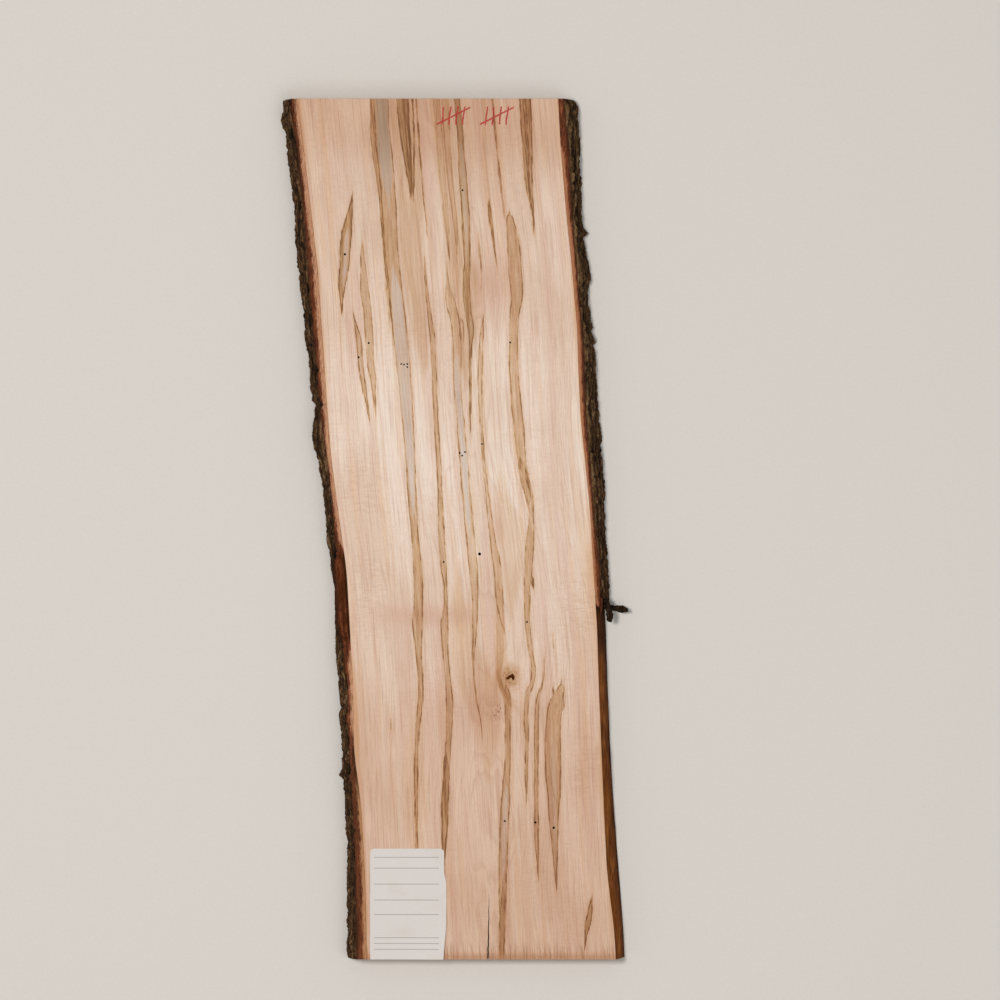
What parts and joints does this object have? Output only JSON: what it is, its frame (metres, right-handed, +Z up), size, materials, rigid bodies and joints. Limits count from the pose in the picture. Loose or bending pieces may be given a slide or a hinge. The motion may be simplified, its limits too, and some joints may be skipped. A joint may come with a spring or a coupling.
{
  "type": "ambrosia maple slab",
  "caption": "Live-edge wood slab with sawn faces and ends, bark along its edges, worm holes, a knot and a blank paper label on its face.",
  "frame": {"origin": "the middle of the back face, on the surface that the slab lies on", "axes": "+X across the slab towards the edge with the torn bark, +Y along it towards the head end, +Z up out of the show face"},
  "size_m": [0.4834, 1.188, 0.0487],
  "materials": {
    "maple": "rough-planed bare maple with grey and brown streaks",
    "bark": "rough dark bark over red-brown inner bark",
    "paper": "matt white label paper, a little dusty"
  },
  "bodies": {
    "root": {"wood": "maple", "bark_left": "bark", "bark_right": "bark", "paper_tag": "paper"}
  },
  "joints": []
}
